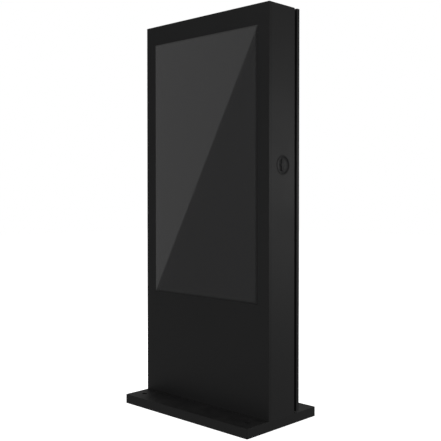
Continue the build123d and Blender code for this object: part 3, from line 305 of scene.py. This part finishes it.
def lock_enamel():
    """Satin paint on the lock: dark on the flange and the grip's top, with painted light making it paler down
    in the dish, where it offsets the dish's shade.
    """
    s = Surface("lock_black", LOCK_RIM, 0.55, specular=0.35)
    low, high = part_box("lock_cup")
    x = s.node("ShaderNodeSeparateXYZ", {}, i0=s.place).outputs[0]
    # painted light: 1 at the dish floor and 0 at the flange, lifting the colour where the dish lies in shade
    dish_painted_light = s.range(x, low.x, high.x - 1 * MM, 1, 0)
    cloud = s.range(s.noise(9 * MM, detail=4), 0.3, 0.7, 0, 0.25)
    tone = s.blend(dish_painted_light, LOCK_RIM, LOCK_DISH_PAINTED_LIGHT)
    s.paint("Base Color", s.blend(cloud, tone, LOCK_RIM))
    s.paint("Roughness", s.range(s.noise(3 * MM, detail=4), 0.3, 0.7, 0.48, 0.64))
    s.soften(0.6 * MM)
    s.bump(s.noise(0.6 * MM, detail=2), 0.02 * MM)
    return s.done()


finishes = {
    "casing_paint": powder_coat("casing_paint", CASING, 0.52, 0.9 * MM, 0.05 * MM),
    "bezel_paint": powder_coat("bezel_paint", BEZEL, 0.5, 0.8 * MM, 0.03 * MM, specular=0.36),
    "plinth_paint": powder_coat("plinth_paint", lighter(CASING, 0.86), 0.55, 1.0 * MM, 0.06 * MM),
    "cover_glass": screen_glass(),
    "display_black": dark_display("display_black", (0.008, 0.008, 0.010), 0.35),
    "touch_film": dark_display("touch_film", (0.02, 0.02, 0.023), 0.2),
    "zinc_steel": zinc_plate("zinc_steel"),
    "bolt_steel": plated_steel("bolt_steel", (0.5, 0.5, 0.52), 0.32),
    "aluminium_case": brushed_aluminium("aluminium_case", (0.62, 0.63, 0.65), 0.36),
    "black_plastic": moulded_plastic("black_plastic", (0.018, 0.018, 0.019), 0.5),
    "grey_plastic": moulded_plastic("grey_plastic", (0.36, 0.37, 0.38), 0.5),
    "white_plastic": moulded_plastic("white_plastic", (0.68, 0.68, 0.66), 0.42),
    "green_plastic": moulded_plastic("green_plastic", (0.2, 0.3, 0.16), 0.48),
    "seal_rubber": rubber("seal_rubber", (0.038, 0.038, 0.038), 0.82, 1.2 * MM),
    "cable_sheath": cable_sheath(),
    "filter_foam": filter_mat(),
    "lock_chrome": plated_steel("lock_chrome", (0.05, 0.05, 0.052), 0.45),
    "lock_black": lock_enamel(),
}

slot_of = {part["node"]: part["material_slot"] for part in frame["record"]["subparts"]}
for name, thing in nodes.items():
    thing.data.materials.clear()
    thing.data.materials.append(finishes[slot_of[name]])


# ---------------------------------------------------------------- pieces: seals and filters
def mesh_piece(name, points, faces, material, smooth=False):
    """An object in the scene with a mesh made from points and faces."""
    mesh = bpy.data.meshes.new(name)
    mesh.from_pydata([tuple(p) for p in points], [], faces)
    mesh.update()
    thing = bpy.data.objects.new(name, mesh)
    bpy.context.scene.collection.objects.link(thing)
    mesh.materials.append(material)
    for polygon in mesh.polygons:
        polygon.use_smooth = smooth
    return thing


def add_piece(name, points, faces, slot, body, replaced=(), smooth=True):
    """A visible piece that rides a body, and stands for the replaced CAD nodes if there are any."""
    piece = mesh_piece(name, points, faces, finishes[slot], smooth)
    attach(piece, body)
    if replaced:
        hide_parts(*replaced)
    return piece


def arc(middle, radius, start, end, steps):
    """Points (u, v) on an arc, with angles in degrees."""
    angles = [math.radians(start + (end - start) * i / steps) for i in range(steps + 1)]
    return [(middle[0] + radius * math.cos(a), middle[1] + radius * math.sin(a)) for a in angles]


def rounded_loop(half_w, low, high, radius):
    """Stations round an upright rectangle with round corners: (x, z, outward x, outward z)."""
    stations = []
    steps = 8
    corners = ((half_w - radius, high - radius, 0), (-half_w + radius, high - radius, 90),
               (-half_w + radius, low + radius, 180), (half_w - radius, low + radius, 270))
    for x, z, start in corners:
        for i in range(steps + 1):
            turn = math.radians(start + 90 * i / steps)
            stations.append((x + radius * math.cos(turn), z + radius * math.sin(turn),
                             math.cos(turn), math.sin(turn)))
    return stations


SEAL_W = 8 * MM


def door_seal():
    """A strip with a flat foot and a round bulb, all the way round the door opening."""
    low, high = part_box("door_seal")
    half = SEAL_W / 2
    foot = 4.6 * MM
    chamfer, shoulder = 0.4 * MM, 0.8 * MM
    bulb = half - 0.15 * MM
    middle = high.y - low.y - bulb - 0.1 * MM
    profile = [(-half, chamfer), (-half + chamfer, 0), (half - chamfer, 0), (half, chamfer),
               (half, foot - shoulder), (half - shoulder, foot)]
    profile += arc((0, middle), bulb, -48, 228, 22)
    profile += [(-half + shoulder, foot), (-half, foot - shoulder)]
    corner = 7 * MM
    stations = rounded_loop(high.x - half, low.z + half, high.z - half, corner)
    points = []
    for x, z, out_x, out_z in stations:
        points += [(x + u * out_x, low.y + v, z + u * out_z) for u, v in profile]
    count, around = len(profile), len(stations)
    faces = []
    for i in range(around):
        for j in range(count):
            a, b = i * count + j, i * count + (j + 1) % count
            c, d = ((i + 1) % around) * count + (j + 1) % count, ((i + 1) % around) * count + j
            faces.append((a, b, c, d))
    add_piece("door_seal_bulb", points, faces, "seal_rubber", "cabinet", ["door_seal"])


FILTER_H = 114 * MM


def filter_mats():
    """Two foam mats, one behind each vent."""
    low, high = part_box("filter_mats")
    for name, base in (("lower", low.z), ("upper", high.z - FILTER_H)):
        filter_mat_piece(f"filter_mat_{name}", (low.x, low.y, base), (high.x, high.y, base + FILTER_H))


def filter_mat_piece(name, low, high):
    """One mat: thick in the middle, pinched at the rim, and faintly uneven."""
    columns, rows = 96, 24
    pinch = 9 * MM
    thickness = high[1] - low[1]
    middle = (low[1] + high[1]) / 2
    grid = []
    for side in (-1, 1):
        for row in range(rows + 1):
            for column in range(columns + 1):
                u, v = column / columns, row / rows
                x = low[0] + u * (high[0] - low[0])
                z = low[2] + v * (high[2] - low[2])
                rim = min(x - low[0], high[0] - x, z - low[2], high[2] - z)
                crown = 0.55 + 0.45 * min(1.0, rim / pinch) ** 0.6
                lump = 0.06 * noise.noise(Vector((x * 28, side * 3.7, z * 28)))
                half = thickness / 2 * min(1.0, crown * (0.94 + lump))
                grid.append((x, middle + side * half, z))
    layer = (rows + 1) * (columns + 1)
    faces = []
    for row in range(rows):
        for column in range(columns):
            a = row * (columns + 1) + column
            b, c, d = a + 1, a + columns + 2, a + columns + 1
            faces.append((a, b, c, d))
            faces.append((layer + d, layer + c, layer + b, layer + a))
    rim_loop = list(range(columns + 1))
    rim_loop += [row * (columns + 1) + columns for row in range(1, rows + 1)]
    rim_loop += [rows * (columns + 1) + column for column in range(columns - 1, -1, -1)]
    rim_loop += [row * (columns + 1) for row in range(rows - 1, 0, -1)]
    for i, a in enumerate(rim_loop):
        b = rim_loop[(i + 1) % len(rim_loop)]
        faces.append((b, a, layer + a, layer + b))
    piece = add_piece(name, grid, faces, "filter_foam", "rear_door", ["filter_mats"])


# ---------------------------------------------------------------- pieces: screw heads
SEGMENTS = 24            # points round each ring of a screw head


def head_rings(radius):
    """A screw head's rings, from its rim over the dome into the socket: (radius, height, six-sided)."""
    wall = 0.14 * radius
    rings = [(radius, 0.0, False), (radius, wall, False)]
    for angle in (0.45, 0.85, 1.05):
        rings.append((radius * math.cos(angle), wall + 0.38 * radius * math.sin(angle), False))
    return rings + [(0.44 * radius, 0.52 * radius, True), (0.42 * radius, 0.1 * radius, True)]


def ring_points(radius, height, six_sided):
    """One ring of a screw head, round or hexagonal, about the screw's axis."""
    points = []
    for k in range(SEGMENTS):
        angle = math.tau * k / SEGMENTS
        reach = radius
        if six_sided:
            from_flat = (angle + math.pi / 6) % (math.pi / 3) - math.pi / 6
            reach = radius * math.cos(math.pi / 6) / math.cos(from_flat)
        points.append(Vector((reach * math.cos(angle), reach * math.sin(angle), height)))
    return points


def button_heads(name, places, radius, facing, body):
    """Domed screw heads with a hexagon socket, one at each place, all facing the same way."""
    turn = Vector((0, 0, 1)).rotation_difference(Vector(facing)).to_matrix()
    rings = head_rings(radius)
    points, faces = [], []
    for place in places:
        base = len(points)
        for ring in rings:
            points += [Vector(place) + turn @ point for point in ring_points(*ring)]
        for ring in range(len(rings) - 1):
            for k in range(SEGMENTS):
                a = base + ring * SEGMENTS + k
                b = base + ring * SEGMENTS + (k + 1) % SEGMENTS
                faces.append((a, b, b + SEGMENTS, a + SEGMENTS))
        last = base + (len(rings) - 1) * SEGMENTS
        faces.append(tuple(last + k for k in range(SEGMENTS)))
        faces.append(tuple(base + k for k in reversed(range(SEGMENTS))))
    return add_piece(name, points, faces, "bolt_steel", body, smooth=False)


def rear_corners(node, margin):
    """Four places on a node's rear face, margin in from the corners of its box."""
    low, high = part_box(node)
    sides = (low.x + margin, high.x - margin)
    levels = (low.z + margin, high.z - margin)
    return [(x, high.y, z) for x in sides for z in levels]


def middle_sides(node, margin):
    """Two places on a node's rear face at half its height, margin in from its sides."""
    low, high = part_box(node)
    return [(x, high.y, (low.z + high.z) / 2) for x in (low.x + margin, high.x - margin)]


REAR, FRONT = (0, 1, 0), (0, -1, 0)


def fan_screws():
    low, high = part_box("fan_frames")
    guard_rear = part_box("fan_guards")[1].y
    hole = 7.5 * MM
    size = high.z - low.z
    places = []
    for left in (low.x, high.x - size):
        for x in (left + hole, left + size - hole):
            for z in (low.z + hole, high.z - hole):
                places.append((x, guard_rear, z))
    button_heads("fan_screws", places, 3.6 * MM, REAR, "cabinet")


def display_screws():
    low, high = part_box("lcd_chassis")
    rim, spaces = 10 * MM, 6
    first, last = low.z + rim, high.z - rim
    levels = [first + (last - first) * i / spaces for i in range(spaces + 1)]
    places = [(x, high.y, z) for x in (low.x + rim, high.x - rim) for z in levels]
    inner_x = 0.17
    places += [(x, high.y, z) for x in (-inner_x, inner_x) for z in (first, last)]
    button_heads("display_case_screws", places, 3.0 * MM, REAR, "cabinet")
    places = rear_corners("lcd_rear_cover", 12 * MM) + middle_sides("lcd_rear_cover", 12 * MM)
    button_heads("display_cover_screws", places, 2.6 * MM, REAR, "cabinet")


def equipment_screws():
    places = rear_corners("equipment_plate", 11 * MM) + middle_sides("equipment_plate", 11 * MM)
    button_heads("equipment_plate_screws", places, 5.0 * MM, REAR, "cabinet")
    small = 2.2 * MM
    button_heads("media_player_screws", rear_corners("media_player", 5.5 * MM), small, REAR, "cabinet")
    button_heads("touch_controller_screws", rear_corners("touch_controller", 6 * MM), small, REAR, "cabinet")
    fixed_end = rear_corners("power_supply", 5 * MM)[2:]
    button_heads("power_supply_screws", fixed_end, small, REAR, "cabinet")


def hinge_screws():
    """Two screws in each leaf of each hinge."""
    body_low, body_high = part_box("hinge_body_leaves")
    door_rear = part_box("hinge_door_leaves")[1].y
    leaf = 2 * MM
    x = body_high.x - 4.6 * MM
    first, last = body_low.z + 33 * MM, body_high.z - 33 * MM
    levels = [z + step for z in (first, (first + last) / 2, last) for step in (-24 * MM, 24 * MM)]
    for name, y, facing, body in (("body", body_low.y + leaf, REAR, "cabinet"),
                                  ("door", door_rear - leaf, FRONT, "rear_door")):
        button_heads(f"hinge_screws_{name}", [(x, y, z) for z in levels], 2.6 * MM, facing, body)


door_seal()
filter_mats()
fan_screws()
display_screws()
equipment_screws()
hinge_screws()


# ---------------------------------------------------------------- camera
CAMERA_AT = Vector((2.5196, -2.5904, 1.0428))
CAMERA_TURN = math.radians(43.991)
CAMERA_DIP = math.radians(1.0857)

camera_data = bpy.data.cameras.new("camera")
camera_data.sensor_width = 36
camera_data.lens = 61.35
camera_data.shift_y = -0.0295
camera = bpy.data.objects.new("camera", camera_data)
camera.location = CAMERA_AT
camera.rotation_euler = (math.radians(90) - CAMERA_DIP, 0, CAMERA_TURN)
bpy.context.scene.collection.objects.link(camera)
bpy.context.scene.camera = camera
bpy.context.scene.view_settings.view_transform = "Standard"


# ---------------------------------------------------------------- studio
def glow(name, strength, only_camera=None, mirrored=0.0):
    """An even white glow. With only_camera, the camera sees a white that takes faint shadows, reflections
    meet an even grey of the mirrored strength, and other rays a matt surface of the only_camera grey."""
    material = bpy.data.materials.new(name)
    material.use_nodes = True
    tree = material.node_tree
    tree.nodes.clear()
    out = tree.nodes.new("ShaderNodeOutputMaterial")
    emission = tree.nodes.new("ShaderNodeEmission")
    emission.inputs["Strength"].default_value = strength
    if only_camera is None:
        tree.links.new(emission.outputs[0], out.inputs[0])
        return material
    matt = tree.nodes.new("ShaderNodeBsdfDiffuse")
    matt.inputs["Color"].default_value = (only_camera, only_camera, only_camera, 1)
    pale = tree.nodes.new("ShaderNodeBsdfDiffuse")
    pale.inputs["Color"].default_value = (0.8, 0.8, 0.8, 1)
    both = tree.nodes.new("ShaderNodeAddShader")
    even = tree.nodes.new("ShaderNodeEmission")
    even.inputs["Strength"].default_value = mirrored
    seen = tree.nodes.new("ShaderNodeMixShader")
    choose = tree.nodes.new("ShaderNodeMixShader")
    path = tree.nodes.new("ShaderNodeLightPath")
    tree.links.new(emission.outputs[0], both.inputs[0])
    tree.links.new(pale.outputs[0], both.inputs[1])
    tree.links.new(path.outputs["Is Glossy Ray"], seen.inputs[0])
    tree.links.new(matt.outputs[0], seen.inputs[1])
    tree.links.new(even.outputs[0], seen.inputs[2])
    tree.links.new(path.outputs["Is Camera Ray"], choose.inputs[0])
    tree.links.new(seen.outputs[0], choose.inputs[1])
    tree.links.new(both.outputs[0], choose.inputs[2])
    tree.links.new(choose.outputs[0], out.inputs[0])
    return material


def studio_floor():
    reach = 14.0
    corners = [(-reach, -reach, 0), (reach, -reach, 0), (reach, reach, 0), (-reach, reach, 0)]
    white = glow("floor_white", 0.90, only_camera=0.25, mirrored=AMBIENT)
    floor = mesh_piece("studio_floor", corners, [(0, 1, 2, 3)], white)


def studio_world(ambient):
    """White behind the object, and a dim even grey as surroundings for everything else."""
    world = bpy.data.worlds.new("studio")
    world.use_nodes = True
    bpy.context.scene.world = world
    tree = world.node_tree
    tree.nodes.clear()
    out = tree.nodes.new("ShaderNodeOutputWorld")
    backdrop = tree.nodes.new("ShaderNodeBackground")
    backdrop.inputs["Color"].default_value = (1, 1, 1, 1)
    around = tree.nodes.new("ShaderNodeBackground")
    around.inputs["Color"].default_value = (ambient, ambient, ambient, 1)
    choose = tree.nodes.new("ShaderNodeMixShader")
    path = tree.nodes.new("ShaderNodeLightPath")
    tree.links.new(path.outputs["Is Camera Ray"], choose.inputs[0])
    tree.links.new(around.outputs[0], choose.inputs[1])
    tree.links.new(backdrop.outputs[0], choose.inputs[2])
    tree.links.new(choose.outputs[0], out.inputs[0])


def softbox(name, at, aim, size, watts, glossy=True):
    data = bpy.data.lights.new(name, "AREA")
    data.shape = "RECTANGLE"
    data.size, data.size_y = size
    data.energy = watts
    light = bpy.data.objects.new(name, data)
    light.location = at
    light.rotation_euler = (Vector(aim) - Vector(at)).to_track_quat("-Z", "Y").to_euler()
    light.visible_camera = False
    light.visible_glossy = glossy
    bpy.context.scene.collection.objects.link(light)


def glare_card():
    """A white card that the glass mirrors, cut so that its edge runs corner to corner across the window."""
    glass_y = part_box("cover_glass")[0].y
    low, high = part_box("glass_gasket")
    overlap = 4 * MM
    window_low = Vector((low.x + overlap, glass_y, low.z + overlap))
    window_high = Vector((high.x - overlap, glass_y, high.z - overlap))
    along = (window_high - window_low).normalized()
    across = Vector((-along.z, 0, along.x))
    seen = Vector((CAMERA_AT.x, 2 * glass_y - CAMERA_AT.y, CAMERA_AT.z))
    card_y = -2.0
    margin, width = 0.03, 1.1
    start, end = window_low - margin * along, window_high + margin * along
    corners = []
    for point in (start, end, end + width * across, start + width * across):
        stretch = (card_y - seen.y) / (point.y - seen.y)
        corners.append(seen + stretch * (point - seen))
    card = mesh_piece("glare_card", corners, [(0, 1, 2, 3)], glow("card_white", 0.66))
    card.visible_camera = False
    card.visible_diffuse = False
    card.visible_shadow = False
    receivers = bpy.data.collections.new("glare_receivers")
    receivers.objects.link(nodes["cover_glass"])
    card.light_linking.receiver_collection = receivers


studio_floor()
studio_world(AMBIENT)
glare_card()
softbox("side_key", (2.1, 1.7, 1.2), (0.4, 0.0, 1.15), (0.7, 0.9), 5.7)
softbox("side_low", (2.1, 1.7, 0.35), (0.4, 0.0, 0.45), (0.8, 0.6), 0.6)
softbox("corner_fill", (2.3, -1.6, 1.1), (0.4, 0.0, 1.1), (0.9, 1.0), 14.0, glossy=False)
softbox("top_soft", (-1.3, 0.6, 3.3), (-0.2, -0.1, 0.0), (1.6, 1.6), 40.0, glossy=False)
softbox("front_fill", (-0.6, -3.2, 1.7), (0.0, 0.0, 1.1), (1.6, 1.6), 36.0, glossy=False)
softbox("back_fill", (0.4, 3.4, 1.9), (0.0, 0.0, 1.0), (1.8, 1.8), 30.0, glossy=False)
